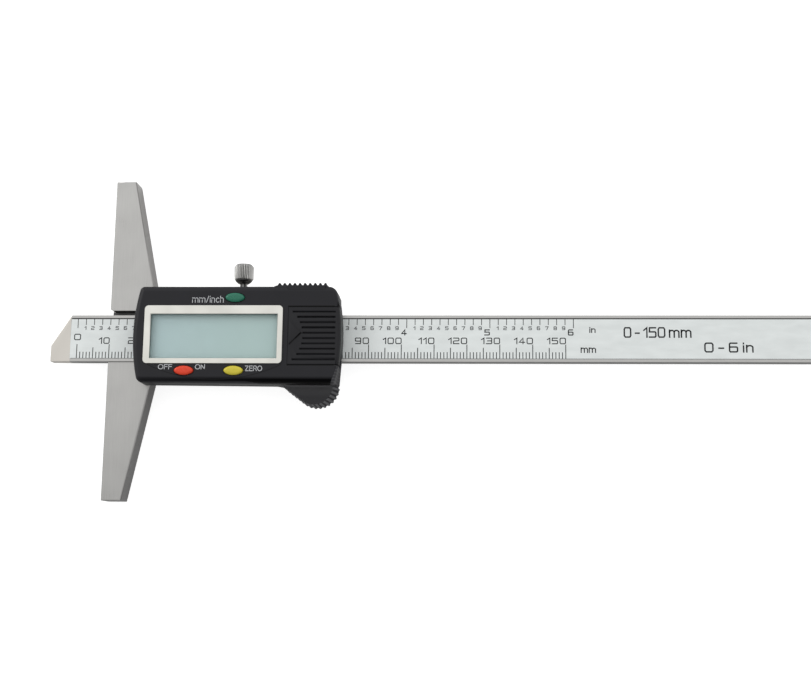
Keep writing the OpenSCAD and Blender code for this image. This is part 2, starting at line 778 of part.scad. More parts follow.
// The graduation lines seen from the front: millimetres along the lower edge, tenths of an inch along the upper
module graduations() {
    half = film_width / 2;
    for (i = [0:measuring_range]) {
        reach = i % 10 == 0 ? tick_long : i % 5 == 0 ? tick_medium : tick_short;
        translate([zero_x + i - tick_width / 2, -half + 0.1]) square([tick_width, reach]);
    }
    for (i = [0:floor(measuring_range / inch * 10) + 1]) {
        reach = i % 10 == 0 ? tick_medium - 0.4 : tick_short;
        translate([zero_x + i * inch / 10 - tick_width / 2, half - 0.1 - reach]) square([tick_width, reach]);
    }
}

// Printed film: its graduation lines are sunk by half its thickness
module scale_film() {
    color("#d7d9d9") translate([0, 0, pocket_level + stator_thickness]) {
        linear_extrude(film_thickness / 2) film_plan();
        translate([0, 0, film_thickness / 2]) linear_extrude(film_thickness / 2) difference() {
            film_plan();
            graduations();
        }
    }
}

// Plate under the beam that stops the beam from leaving the slider
module end_stop() {
    color("#9c9c99") difference() {
        translate([stop_x, -beam_width / 2 + stop_inset, beam_bottom - stop_thickness])
            linear_extrude(stop_thickness) rounded_rect(stop_length, beam_width - 2 * stop_inset, 1);
        for (p = stop_places) translate([p[0], p[1], beam_bottom - stop_thickness - cut]) {
            cylinder(h = stop_thickness + 2 * cut, r = stop_screw_radius + drop_gap);
            cylinder(h = cut + 1, r = 1.9);
        }
    }
}

module end_stop_screws() {
    color("#6f6f6e") for (p = stop_places) translate([p[0], p[1], beam_bottom - stop_thickness]) mirror([0, 0, 1])
        pan_screw(1.75, 0.95, stop_screw_radius, 2.4, 0.35);
}

// Knurled lock screw: it turns in the slider's upper wall and presses on the gib strip
module lock_screw() {
    r = lock_head_radius;
    color("#7d7d7d") translate([lock_x, 0, lock_z]) rotate([-90, 0, 0]) union() {
        intersection() {
            translate([0, 0, lock_head_y]) linear_extrude(lock_head_length) polygon([
                for (i = [0:2 * lock_ridges - 1]) (i % 2 == 0 ? r : r - 0.34)
                    * [cos(180 * i / lock_ridges), sin(180 * i / lock_ridges)]
            ]);
            rotate_extrude($fn = 64) translate([0, lock_head_y]) polygon([
                [0, 0], [r - 0.15, 0], [r + 0.05, 0.3], [r + 0.05, lock_head_length - 0.8],
                [r - 0.65, lock_head_length], [0, lock_head_length]
            ]);
        }
        rotate_extrude($fn = 64) polygon([
            [0, lock_start], [lock_radius - 0.3, lock_start], [lock_radius, lock_start + 0.3],
            [lock_radius, slider_high + 0.4], [lock_neck_radius, slider_high + 0.7],
            [lock_neck_radius, lock_taper_y], [r - 1.2, lock_taper_y + 0.35], [r - 0.5, lock_taper_y + 0.95],
            [r - 0.25, lock_head_y + sink], [0, lock_head_y + sink]
        ]);
    }
}

// An oval button with a crowned top, a stem over its switch and a flange under the housing's front
module button(place) {
    a = button_length / 2;
    b = button_width / 2;
    stem = board_top + switch_height + button_travel + 0.05;
    flange = ceiling_level - 0.05;
    top = front_level + button_rise;
    crown = [[0, flange], [0, top - 0.45], [0.2, top - 0.22], [0.5, top - 0.08], [0.95, top]];
    translate([place[0], place[1], 0]) {
        loft(
            [for (s = crown) ellipse([0, 0], a - s[0], b - s[0], 32)],
            [for (s = crown) s[1]]
        );
        translate([0, 0, flange - button_flange]) linear_extrude(button_flange + 0.005)
            polygon(ellipse([0, 0], a + flange_lap, b - 0.1, 32));
        translate([0, 0, stem]) cylinder(h = flange - stem, r = 0.9);
    }
}

module mode_button() {
    color("#2e725b") button(mode_place);
}

module power_button() {
    color("#df4d33") button(power_place);
}

module zero_button() {
    color("#c5b83b") button(zero_place);
}

// Sliding battery cover: a ribbed plate on two tongues, with a lip that closes the end wall
module battery_cover() {
    low = cover_low + cover_joint;
    high = cover_high - cover_joint;
    start = cover_x + cover_gap;
    pitch = (cover_high - cover_low) / (cover_grooves + 1);
    ring = 10;
    color("#303032") difference() {
        union() {
            intersection() {
                housing_body();
                union() {
                    block([start, low, cover_level], [housing_end + cut, high, front_level + cut]);
                    block([lip_x + cover_gap, low, lip_level + cover_gap], [housing_end + cut, high, front_level + cut]);
                }
            }
            block([start, cover_low - tongue + cover_gap, cover_level],
                  [lip_x - 1.5, cover_high + tongue - cover_gap, cover_level + tongue_thickness]);
        }
        // grip grooves, which stop at a curve round the arrow
        for (i = [1:cover_grooves]) {
            y = cover_low + i * pitch;
            from = cover_x + 4.5 - ring + sqrt(pow(ring, 2) - pow(y - cover_mid, 2));
            translate([from, y, front_level]) rotate([90, 0, 90]) linear_extrude(housing_end - 1.7 - from)
                polygon([
                    [-0.16, -groove_depth], [0.16, -groove_depth], [0.34, 0], [0.34, cut], [-0.34, cut], [-0.34, 0]
                ]);
        }
    }
    // raised arrow that shows which way the cover slides
    color("#303032") translate([0, 0, front_level - sink]) linear_extrude(sink + 0.4) polygon([
        [cover_x + 0.4, cover_mid - 2.6], [cover_x + 3.9, cover_mid + 0.95], [cover_x + 0.4, cover_mid + 4.5]
    ]);
}

depth_base();
gib_strip();
gib_screws();
keeper_plate();
board_screws();
circuit_board();
chip();
key_switches();
zebra_strips();
lcd_panel();
display_window();
bezel();
housing();
housing_screws();
battery();
battery_side_contact();
battery_base_contact();
beam();
stator_strip();
scale_film();
end_stop();
end_stop_screws();
lock_screw();
mode_button();
power_button();
zero_button();
battery_cover();
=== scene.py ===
"""Digital depth caliper: materials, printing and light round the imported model."""
import json
import math

import bmesh
import bpy
from mathutils import Matrix, Vector


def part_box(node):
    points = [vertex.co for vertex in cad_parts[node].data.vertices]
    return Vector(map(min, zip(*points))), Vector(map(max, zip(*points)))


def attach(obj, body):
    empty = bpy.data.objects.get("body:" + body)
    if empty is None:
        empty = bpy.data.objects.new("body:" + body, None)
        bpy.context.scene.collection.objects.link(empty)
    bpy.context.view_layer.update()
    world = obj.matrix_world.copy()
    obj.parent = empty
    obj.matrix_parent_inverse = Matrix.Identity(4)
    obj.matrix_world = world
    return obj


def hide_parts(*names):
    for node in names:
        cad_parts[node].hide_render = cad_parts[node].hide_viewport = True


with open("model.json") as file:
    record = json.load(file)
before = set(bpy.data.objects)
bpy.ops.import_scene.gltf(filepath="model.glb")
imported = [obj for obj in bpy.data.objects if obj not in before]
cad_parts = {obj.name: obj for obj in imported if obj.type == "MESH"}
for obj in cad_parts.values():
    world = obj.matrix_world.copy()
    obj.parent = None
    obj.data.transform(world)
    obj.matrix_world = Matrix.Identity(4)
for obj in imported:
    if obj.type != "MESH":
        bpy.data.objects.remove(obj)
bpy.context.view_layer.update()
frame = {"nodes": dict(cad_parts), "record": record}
nodes = frame["nodes"]

MM = 0.001


def box_mm(node):
    """A CAD node's low and high corners in millimetres."""
    return [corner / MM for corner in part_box(node)]


def middle_mm(node):
    """The middle of a CAD node's box in millimetres."""
    low, high = box_mm(node)
    return (low + high) / 2


beam_low = box_mm("beam")[0]
film_low, film_high = box_mm("scale_film")
housing_low, housing_high = box_mm("housing")
bezel_low, bezel_high = box_mm("bezel")
cover_low, cover_high = box_mm("battery_cover")
lock_low = box_mm("lock_screw")[0]

# Places and sizes on the object, in millimetres
TIP_TO_ZERO = 8.05
ZERO_X = beam_low.x + TIP_TO_ZERO      # zero line of both scales
FILM_Z = film_high.z                   # front of the printed film
FRONT_Z = housing_high.z               # front of the housing
INCH = 25.4
MEASURING_RANGE = 150
LAST_INCH = 6


# Colours

def lin(r, g, b):
    """A colour read from a picture, 0 to 255, as linear values."""
    def channel(c):
        c /= 255
        return c / 12.92 if c <= 0.04045 else ((c + 0.055) / 1.055) ** 2.4
    return (channel(r), channel(g), channel(b), 1.0)


def scaled(colour, k):
    return tuple(c * k for c in colour[:3]) + (1.0,)


WHITE = (1.0, 1.0, 1.0, 1)
BLACK = (0.0, 0.0, 0.0, 1)


# Node trees

class Nodes:
    """Adds and links the nodes of one tree."""

    def __init__(self, tree):
        self.tree = tree
        self.coords = self.node("ShaderNodeTexCoord")

    def node(self, kind, **settings):
        n = self.tree.nodes.new(kind)
        for key, value in settings.items():
            setattr(n, key, value)
        return n

    def feed(self, value, socket):
        """Sets a socket to a plain value, or links an output to it."""
        if isinstance(value, (int, float, tuple)):
            socket.default_value = value
        else:
            self.tree.links.new(value, socket)

    def split(self, kind):
        """The X, Y and Z of one kind of texture coordinate."""
        parts = self.node("ShaderNodeSeparateXYZ")
        self.feed(self.coords.outputs[kind], parts.inputs[0])
        return parts.outputs

    def math(self, operation, a, b=0.0):
        n = self.node("ShaderNodeMath", operation=operation)
        self.feed(a, n.inputs[0])
        self.feed(b, n.inputs[1])
        return n.outputs[0]

    def product(self, *factors):
        result = factors[0]
        for factor in factors[1:]:
            result = self.math("MULTIPLY", result, factor)
        return result

    def span(self, value, start, end, low=0.0, high=1.0):
        """low where the value is at start and high where it is at end, and held there beyond them."""
        n = self.node("ShaderNodeMapRange")
        for given, socket in zip((value, start, end, low, high), n.inputs):
            self.feed(given, socket)
        return n.outputs[0]


class Paint(Nodes):
    """A node material: a Principled shader with procedural inputs in object space."""

    def __init__(self, name, metallic=0.0, specular=0.5):
        self.mat = bpy.data.materials.new(name)
        self.mat.use_nodes = True
        super().__init__(self.mat.node_tree)
        self.shader = self.tree.nodes["Principled BSDF"]
        self.shader.inputs["Metallic"].default_value = metallic
        self.shader.inputs["Specular IOR Level"].default_value = specular

    def noise(self, size, stretch=(1, 1, 1), detail=3.0, rough=0.5):
        """Noise whose grains are about size millimetres, longer along an axis by its stretch."""
        place = self.node("ShaderNodeMapping")
        place.inputs["Scale"].default_value = [1 / (size * MM * s) for s in stretch]
        self.feed(self.coords.outputs["Object"], place.inputs["Vector"])
        n = self.node("ShaderNodeTexNoise")
        n.inputs["Scale"].default_value = 1.0
        n.inputs["Detail"].default_value = detail
        n.inputs["Roughness"].default_value = rough
        self.feed(place.outputs["Vector"], n.inputs["Vector"])
        return n.outputs["Fac"]

    def ramp(self, fac, stops):
        """Colours or grey levels between the stops that fac passes."""
        r = self.node("ShaderNodeValToRGB")
        while len(r.color_ramp.elements) < len(stops):
            r.color_ramp.elements.new(0.5)
        for element, (place, colour) in zip(r.color_ramp.elements, stops):
            element.position = place
            element.color = colour if isinstance(colour, tuple) else (colour, colour, colour, 1)
        self.feed(fac, r.inputs["Fac"])
        return r.outputs["Color"]

    def mix(self, fac, a, b, blend="MIX"):
        m = self.node("ShaderNodeMix", data_type="RGBA", blend_type=blend)
        for value, socket in ((fac, m.inputs[0]), (a, m.inputs[6]), (b, m.inputs[7])):
            self.feed(value, socket)
        return m.outputs[2]

    def shaded(self, share, colour, fac, stops):
        """A colour darkened by a ramp over fac, as far as the share says."""
        return self.mix(share, colour, self.ramp(fac, stops), "MULTIPLY")

    def mottled(self, fac, low, high, a, b):
        """From colour a where fac is low to colour b where it is high."""
        return self.mix(self.ramp(fac, [(low, 0.0), (high, 1.0)]), a, b)

    def facing(self):
        """0 on the sides and 1 on faces that look along Z, in the object's own frame."""
        level = self.math("ABSOLUTE", self.split("Normal")["Z"])
        return self.ramp(level, [(0.35, 0.0), (0.8, 1.0)])

    def rise(self, axis, start, end, low=0.0, high=1.0):
        """low at start and high at end, two places in millimetres on one of the object's own axes."""
        return self.span(self.split("Object")[axis], start * MM, end * MM, low, high)

    def inside(self, **limits):
        """1 where the object's own coordinates lie between limits in millimetres, and 0 elsewhere."""
        place = self.split("Object")
        masks = []
        for axis, (low, high) in limits.items():
            if low is not None:
                masks.append(self.math("GREATER_THAN", place[axis], low * MM))
            if high is not None:
                masks.append(self.math("LESS_THAN", place[axis], high * MM))
        return self.product(*masks)

    def base(self):
        """What feeds the base colour so far."""
        return self.shader.inputs["Base Color"].links[0].from_socket

    def colour(self, socket):
        self.feed(socket, self.shader.inputs["Base Color"])
        return self

    def roughness(self, fac, low, high):
        self.feed(self.ramp(fac, [(0.25, low), (0.75, high)]), self.shader.inputs["Roughness"])
        return self

    def relief(self, height, depth, strength, shader=None):
        """Relief of depth millimetres on a shader, the Principled one unless another is given."""
        b = self.node("ShaderNodeBump")
        b.inputs["Strength"].default_value = strength
        b.inputs["Distance"].default_value = depth * MM
        self.feed(height, b.inputs["Height"])
        self.feed(b.outputs["Normal"], (shader or self.shader).inputs["Normal"])
        return self

    def surface(self, kind, *parts):
        """Puts a mix or a sum of shaders in place of the Principled one."""
        self.tree.nodes.remove(self.shader)
        both = self.node(kind)
        for value, socket in zip(parts, both.inputs):
            self.feed(value, socket)
        self.feed(both.outputs[0], self.tree.nodes["Material Output"].inputs["Surface"])
        return self


# Metals

LONG_X = (60, 1, 1)
LONG_Y = (1, 60, 1)


def ground_steel(name, face, side, grain, roughness=(0.24, 0.40)):
    """Ground steel: brushed along grain, with its sides painted darker as painted shade."""
    p = Paint(name, metallic=1.0)
    lines = p.noise(0.12, grain, 4.0, 0.6)
    cloud = p.noise(9.0)
    toned = p.shaded(0.12, p.mix(p.facing(), side, face), lines, [(0.3, 0.35), (0.7, 1.0)])
    p.colour(p.shaded(0.10, toned, cloud, [(0.35, 0.5), (0.65, 1.0)]))
    p.roughness(p.mix(0.5, lines, cloud), *roughness)
    return p.relief(lines, 0.004, 0.5)


def base_tones(p):
    """The base's steel: painted light on the sides of its upper arm, painted shade dulling the faces of its
    lower arm, and painted shade inside the channel.
    """
    lower_end, middle, upper_arm = -50, -15, 20
    channel_top = 7.7
    # painted shade: the faces darker towards the end of the lower arm
    faces = p.mix(1.0, p.base(), p.rise("Y", lower_end, middle, 0.90, 1.0), "MULTIPLY")
    # painted light: the sides paler up the upper arm
    sides = p.mix(p.rise("Y", middle, upper_arm), p.base(), (0.50, 0.49, 0.475, 1))
    toned = p.mix(p.facing(), sides, faces)
    # painted shade: dark inside the channel
    channel = p.inside(Y=(0, lock_low.y), Z=(beam_low.z - 0.1, channel_top))
    return p.colour(p.mix(channel, toned, (0.1, 0.1, 0.1, 1)))


def tip_tone(p):
    """The beam's steel, warmer and paler on the lapped tip."""
    tip = p.inside(X=(None, film_low.x + 0.05))
    return p.colour(p.mix(tip, p.base(), (0.69, 0.66, 0.61, 1)))


def plated(name, colour, roughness=(0.22, 0.36)):
    """Plated metal, cloudy in fine spots."""
    p = Paint(name, metallic=1.0)
    fine = p.noise(0.35)
    p.colour(p.mottled(fine, 0.35, 0.65, scaled(colour, 0.88), scaled(colour, 1.05)))
    p.roughness(fine, *roughness)
    return p.relief(fine, 0.003, 0.4)


def knurled_paint():
    """Plated brass of the lock screw, with painted shade between its ridges and on its neck, where it nears
    the black housing.
    """
    ridges = 32
    p = plated("lock_metal", (0.60, 0.595, 0.58, 1), (0.3, 0.42))
    # painted shade on the neck by the black housing
    neck = [(0.56, 1.0), (0.585, 0.3), (0.64, 0.3), (0.68, 1.0)]
    neck_painted_shade = p.shaded(1.0, p.base(), p.split("Generated")["Y"], neck)
    place = p.split("Object")
    middle = middle_mm("lock_screw")
    across = p.math("SUBTRACT", place["X"], middle.x * MM)
    up = p.math("SUBTRACT", place["Z"], middle.z * MM)
    # painted shade between the ridges
    wave = p.math("COSINE", p.math("MULTIPLY", p.math("ARCTAN2", up, across), ridges))
    ridge = p.math("ADD", p.math("MULTIPLY", wave, 0.5), 0.5)
    return p.colour(p.shaded(1.0, neck_painted_shade, ridge, [(0.15, 0.3), (0.75, 1.0)]))


# Plastics, film and display

def moulded(name, colour, roughness=(0.38, 0.5), grain=0.16, depth=0.006, specular=0.4):
    """Moulded plastic with a fine eroded texture."""
    p = Paint(name, specular=specular)
    fine = p.noise(grain, detail=2.0)
    cloud = p.noise(7.0, detail=2.0)
    p.colour(p.mottled(cloud, 0.3, 0.7, scaled(colour, 0.92), scaled(colour, 1.06)))
    p.roughness(fine, *roughness)
    return p.relief(fine, depth, 0.6)


def black_shell(name, colour):
    return moulded(name, colour, (0.38, 0.48), grain=0.18, specular=0.3)


def button_plastic(name, colour):
    return moulded(name, colour, (0.22, 0.34), grain=0.8, depth=0.01)


def printing_ink(name, colour):
    return moulded(name, colour, (0.4, 0.5), grain=0.2, depth=0.001, specular=0.3)


def bezel_shade(p):
    """The bezel's plastic, painted dull green on the walls of its window as painted shade in the recess by
    the lens.
    """
    left, right, below, above = 1.95, 1.6, 1.55, 2.65
    rim = 0.06
    walls = p.inside(
        X=(bezel_low.x + left - rim, bezel_high.x - right + rim),
        Y=(bezel_low.y + below - rim, bezel_high.y - above + rim),
        Z=(None, bezel_high.z - 2 * rim),
    )
    return p.colour(p.mix(walls, p.base(), lin(96, 108, 104)))


def housing_shade(p):
    """The housing's plastic, with painted shade making its lower front edge dull black, and painted light
    making the thumb rest's front and the ribbed end wall paler.
    """
    place = p.split("Object")

    # the slanted, ribbed end wall below the cover, paler as painted light, in stripes of painted light and
    # shade along its ribs
    slope, end_wall, end_low, end_high, rib_pitch = 0.35, 74.79, -15.1, -9.4, 0.9
    slant = p.math("SUBTRACT", place["X"], p.math("MULTIPLY", place["Y"], slope))
    beyond = p.math("GREATER_THAN", slant, end_wall * MM)
    end = p.product(beyond, p.inside(Y=(end_low, end_high), Z=(housing_low.z - 0.3, None)))
    ribs = p.math("SINE", p.math("MULTIPLY", place["Y"], 2 * math.pi / (rib_pitch * MM)))
    end_colour = p.ramp(ribs, [(0.0, lin(54, 54, 57)), (0.6, lin(76, 76, 79))])

    # the front of the thumb rest, with the foot of the wall above it, painted paler as painted light, palest
    # at the foot of the wall
    rest_low, rest_top, rest_start = 11.9, 13.0, -14.7
    rest = p.inside(Y=(None, rest_start), Z=(rest_low, rest_top))
    foot, corner, smooth = lin(104, 104, 106), lin(68, 68, 70), lin(38, 38, 41)
    rest_painted_light = p.ramp(p.rise("Y", -15, -20), [(0.0, foot), (0.12, corner), (0.7, smooth)])
    rest_and_end_painted_light = p.mix(end, p.mix(rest, p.base(), rest_painted_light), end_colour)

    # painted shade on the edge, its reflection dimmed too: stronger to the right, and longer above the thumb
    # rest
    edge_start, edge_end, longer = -12.6, -14.1, 1.0
    edge_left, rest_left, edge_right = 8, 44.1, 50
    lengthened = p.math("ADD", place["Y"], p.rise("X", rest_left, edge_right, 0, longer * MM))
    edge = p.product(
        p.rise("Y", edge_start, edge_start - 1), p.rise("X", edge_left, edge_right, 0.4, 1),
        p.math("GREATER_THAN", lengthened, edge_end * MM), p.inside(Z=(rest_top, None)),
        p.math("SUBTRACT", 1, end), 0.92,
    )
    p.feed(p.mix(edge, WHITE, BLACK), p.shader.inputs["Specular Tint"])
    return p.colour(p.mix(edge, rest_and_end_painted_light, (0.001, 0.001, 0.001, 1)))


def film_paint():
    """The printed film, silvery white and faintly streaked along the beam."""
    p = Paint("printed_film", specular=0.4)
    p.colour(p.mottled(p.noise(2.2, (3, 1, 1)), 0.3, 0.7, lin(232, 237, 236), lin(241, 246, 245)))
    p.roughness(p.noise(0.5, (8, 1, 1)), 0.28, 0.42)
    return p.relief(p.noise(0.3, (20, 1, 1)), 0.002, 0.4)


def display_paint():
    """The switched-off display: grey-green, a little bluer towards its left side."""
    p = Paint("lcd", specular=0.35)
    across = p.ramp(p.split("Generated")["X"], [(0.1, lin(186, 209, 210)), (0.75, lin(185, 209, 206))])
    mottle = p.noise(4.0, detail=2.0)
    p.colour(p.shaded(0.08, across, mottle, [(0.3, 0.6), (0.7, 1.0)]))
    return p.roughness(mottle, 0.28, 0.36)


def lens_paint():
    """Clear lens: straight through, with a gloss that grows at a slant."""
    p = Paint("lens")
    clear = p.node("ShaderNodeBsdfTransparent")
    clear.inputs["Color"].default_value = (0.985, 0.99, 0.99, 1)
    gloss = p.node("ShaderNodeBsdfGlossy")
    gloss.inputs["Roughness"].default_value = 0.12
    p.relief(p.noise(3.0), 0.01, 0.2, gloss)
    fresnel = p.node("ShaderNodeFresnel")
    fresnel.inputs["IOR"].default_value = 1.35
    camera_ray = p.node("ShaderNodeLightPath").outputs["Is Camera Ray"]
    share = p.math("MULTIPLY", fresnel.outputs[0], camera_ray)
    return p.surface("ShaderNodeMixShader", share, clear.outputs[0], gloss.outputs[0])


paints = {
    # the side colours of the steels are darker as painted shade
    "ground_steel": base_tones(ground_steel(
        "ground_steel", face=(0.55, 0.545, 0.53, 1), side=(0.29, 0.285, 0.28, 1), grain=LONG_Y)),
    "beam_steel": tip_tone(ground_steel(
        "beam_steel", face=(0.58, 0.575, 0.56, 1), side=(0.30, 0.30, 0.295, 1), grain=LONG_X)),
    "sheet_steel": ground_steel(
        "sheet_steel", face=(0.55, 0.55, 0.54, 1), side=(0.40, 0.40, 0.40, 1), grain=LONG_X),
    "plated_screws": plated("plated_screws", (0.42, 0.42, 0.42, 1)),
    "dark_screws": plated("dark_screws", (0.05, 0.05, 0.055, 1), (0.35, 0.5)),
    "bronze": plated("bronze", (0.62, 0.43, 0.17, 1)),
    "cell_can": plated("cell_can", (0.66, 0.66, 0.65, 1), (0.12, 0.24)),
    "board": moulded("board", (0.02, 0.11, 0.045, 1), (0.25, 0.35), grain=0.5, depth=0.01, specular=0.5),
    "resin": moulded("resin", (0.008, 0.008, 0.008, 1), (0.1, 0.2), grain=1.2, depth=0.02, specular=0.5),
    "contact_rubber": moulded("contact_rubber", (0.60, 0.52, 0.33, 1), (0.5, 0.7)),
    "copper_laminate": moulded("copper_laminate", (0.26, 0.15, 0.05, 1), (0.3, 0.45)),
    "housing_plastic": black_shell("housing_plastic", lin(27, 27, 31)),
    "bezel_plastic": bezel_shade(
        moulded("bezel_plastic", lin(240, 239, 231), (0.3, 0.4), grain=0.3, depth=0.004)),
    "green_plastic": button_plastic("green_plastic", lin(41, 115, 92)),
    "red_plastic": button_plastic("red_plastic", lin(228, 69, 40)),
    "yellow_plastic": button_plastic("yellow_plastic", lin(219, 204, 66)),
    "printed_film": film_paint(),
    "lcd": display_paint(),
    "lens": lens_paint(),
}
own_paints = {
    "lock_screw": knurled_paint(),
    "housing": housing_shade(black_shell("housing_shell", lin(27, 27, 32))),
}
ink = printing_ink("scale_ink", lin(30, 32, 34))
small_ink = printing_ink("scale_ink_pale", lin(54, 57, 59))
label_ink = printing_ink("label_ink", lin(206, 208, 211))
shade = moulded("groove_shade", lin(9, 9, 10), (0.5, 0.6), grain=0.2, depth=0.001, specular=0.2)
# pale grey of the grip ribs: painted light on the thumb rest's slanted flank
grip = moulded("grip_plastic", lin(98, 98, 101), (0.45, 0.55), grain=0.18, depth=0.01)


# The CAD nodes, painted, and smooth copies in place of some of them

slots = {row["node"]: row["material_slot"] for row in frame["record"]["subparts"]}
body_of_node = {n: b for b, members in frame["record"]["behaviour"]["bodies"].items() for n in members}


def wear(obj, paint):
    obj.data.materials.clear()
    obj.data.materials.append(paint.mat)


def paint_of(node):
    return own_paints.get(node, paints[slots[node]])


for name, obj in nodes.items():
    wear(obj, paint_of(name))


def new_piece(name, bm, paint, body, smooth=None):
    """An object from a bmesh in metres, on a body. smooth is the sharpest angle that is shaded round."""
    mesh = bpy.data.meshes.new(name)
    bm.normal_update()
    bm.to_mesh(mesh)
    bm.free()
    obj = bpy.data.objects.new(name, mesh)
    bpy.context.scene.collection.objects.link(obj)
    wear(obj, paint)
    if smooth:
        mesh.shade_smooth()
        mesh.set_sharp_from_angle(angle=math.radians(smooth))
    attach(obj, body)
    return obj


def finished(node, width, least=1.0):
    """A smooth copy of a CAD node in its place, its sharp edges over the least length rounded by width."""
    flat, sharp, smooth = 0.4, 25, 35
    bm = bmesh.new()
    bm.from_mesh(nodes[node].data)
    bmesh.ops.remove_doubles(bm, verts=bm.verts, dist=1e-7)
    bmesh.ops.dissolve_limit(bm, angle_limit=math.radians(flat), verts=bm.verts, edges=bm.edges)
    if width:
        edges = [
            e for e in bm.edges
            if len(e.link_faces) == 2 and e.calc_length() > least * MM
            and e.calc_face_angle() > math.radians(sharp)
        ]
        bmesh.ops.bevel(
            bm, geom=edges, offset=width * MM, offset_type="OFFSET", segments=2, profile=0.5,
            affect="EDGES", clamp_overlap=True,
        )
    piece = new_piece(node + "_finished", bm, paint_of(node), body_of_node[node], smooth)
    even = piece.modifiers.new("even_shading", "WEIGHTED_NORMAL")
    even.keep_sharp = True
    even.weight = 100
    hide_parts(node)


finished("depth_base", 0.14)
finished("beam", 0.12)
finished("bezel", 0.12, least=0.5)
finished("end_stop", 0.12)
for name in ("housing", "battery_cover", "mode_button", "power_button", "zero_button", "lock_screw",
             "battery", "housing_screws", "end_stop_screws", "board_screws", "chip", "gib_screws"):
    finished(name, 0)


# Print: bands along lines of points, from just under to just over the surface that carries them

GRADUATION_LEVELS = (-0.035, 0.004)
EDGE_LEVELS = (-0.01, 0.006)
NUMERAL_LEVELS = (-0.01, 0.008)
LETTER_LEVELS = (-0.01, 0.01)
SHADE_LEVELS = (-0.02, 0.004)


def bow(x, y, rx, ry, start, end, steps=12):
    """Points on an ellipse's arc, in degrees."""
    turns = [math.radians(start + (end - start) * i / steps) for i in range(steps + 1)]
    return [(x + rx * math.cos(t), y + ry * math.sin(t)) for t in turns]


def tube(bm, rows, ring=False):
    """Faces that join rows of four vertices one after another, closed at both ends unless it is a ring."""
    for i in range(len(rows) if ring else len(rows) - 1):
        a, b = rows[i], rows[(i + 1) % len(rows)]
        for k in range(4):
            bm.faces.new((a[k], a[(k + 1) % 4], b[(k + 1) % 4], b[k]))
    if not ring:
        bm.faces.new(rows[0][::-1])
        bm.faces.new(rows[-1])


def stroke(bm, points, width, surface, levels):
    """A band of width along a line of points, as a closed solid between two levels from a surface."""
    line = [Vector(p) for p in points]
    ring = (line[0] - line[-1]).length < 1e-6
    if ring:
        line.pop()
    half = width / 2
    low, high = (surface + level for level in levels)
    rows = []
    for i, p in enumerate(line):
        before = (p - line[i - 1]).normalized() if ring or i > 0 else None
        after = (line[(i + 1) % len(line)] - p).normalized() if ring or i < len(line) - 1 else None
        cap = Vector((0, 0))
        if before is None:
            run, cap = after, after * -half
        elif after is None:
            run, cap = before, before * half
        else:
            run = (before + after).normalized()
        # a mitred corner reaches further than half the width, at most twice as far
        reach = half / max(0.5, run.dot(before or after))
        side = Vector((-run.y, run.x)) * reach
        left, right = p + side + cap, p - side + cap
        rows.append([bm.verts.new((q.x * MM, q.y * MM, z * MM)) for q, z in (
            (left, low), (right, low), (right, high), (left, high))])
    tube(bm, rows, ring)


# Strokes of the scale's numerals, in a box one unit wide and one high
NUMERALS = {
    "0": [[(0.15, 0), (0.85, 0), (1, 0.15), (1, 0.85), (0.85, 1), (0.15, 1), (0, 0.85), (0, 0.15),
           (0.15, 0)]],
    "1": [[(0.0, 0.74), (0.46, 1), (0.46, 0)]],
    "2": [[(0.02, 1), (0.9, 1), (1, 0.9), (1, 0.6), (0.9, 0.52), (0.1, 0.48), (0, 0.4), (0, 0), (1, 0)]],
    "3": [[(0.05, 1), (0.9, 1), (1, 0.9), (1, 0.6), (0.9, 0.5), (0.25, 0.5)],
          [(0.9, 0.5), (1, 0.4), (1, 0.1), (0.9, 0), (0.02, 0)]],
    "4": [[(0.7, 0), (0.7, 1), (0, 0.26), (1, 0.26)]],
    "5": [[(0.97, 1), (0.03, 1), (0.0, 0.56), (0.9, 0.56), (1, 0.46), (1, 0.1), (0.9, 0), (0.0, 0)]],
    "6": [[(0.92, 1), (0.1, 1), (0, 0.9), (0, 0.1), (0.1, 0), (0.9, 0), (1, 0.1), (1, 0.46), (0.9, 0.56),
           (0, 0.56)]],
    "7": [[(0.0, 1), (1, 1), (0.4, 0)]],
    "8": [[(0.1, 0), (0.9, 0), (1, 0.1), (1, 0.42), (0.9, 0.52), (0.1, 0.52), (0, 0.42), (0, 0.1), (0.1, 0)],
          [(0.1, 0.52), (0.03, 0.62), (0.03, 0.9), (0.13, 1), (0.87, 1), (0.97, 0.9), (0.97, 0.62),
           (0.9, 0.52)]],
    "9": [[(0.05, 0), (0.9, 0), (1, 0.1), (1, 0.9), (0.9, 1), (0.1, 1), (0, 0.9), (0, 0.54), (0.1, 0.44),
           (1, 0.44)]],
}
NUMERAL_GAP = 0.45
NARROW = {"1": 0.53}           # marks that take only a share of the width

# Kinds of numerals: right edge from their graduation line, foot, height, width, and width of strokes
ZERO = (1.12, -0.57, 2.0, 2.15, 0.3)
METRIC = (0.08, -1.7, 2.02, 1.93, 0.3)
INCHES = (0.0, 0.97, 1.9, 1.7, 0.33)
TENTHS = (0.06, 2.64, 1.14, 1.02, 0.21)


def numeral(bm, text, x, kind):
    """Numerals of one kind by the graduation line at x."""
    right, foot, height, width, line = kind
    x += right
    for mark in reversed(text):
        x -= width * NARROW.get(mark, 1.0)
        for points in NUMERALS[mark]:
            place = [(x + line / 2 + px * (width - line), foot + line / 2 + py * (height - line))
                     for px, py in points]
            stroke(bm, place, line, FILM_Z, NUMERAL_LEVELS)
        x -= NUMERAL_GAP


# Lengths and widths of the graduation lines, and how far from the film's edge they start
SHORT_LINE, MEDIUM_LINE, LONG_LINE, INCH_LINE = 1.95, 3.3, 4.3, 2.9
METRIC_WIDTH, INCH_WIDTH = 0.26, 0.22
FILM_EDGE = 0.1


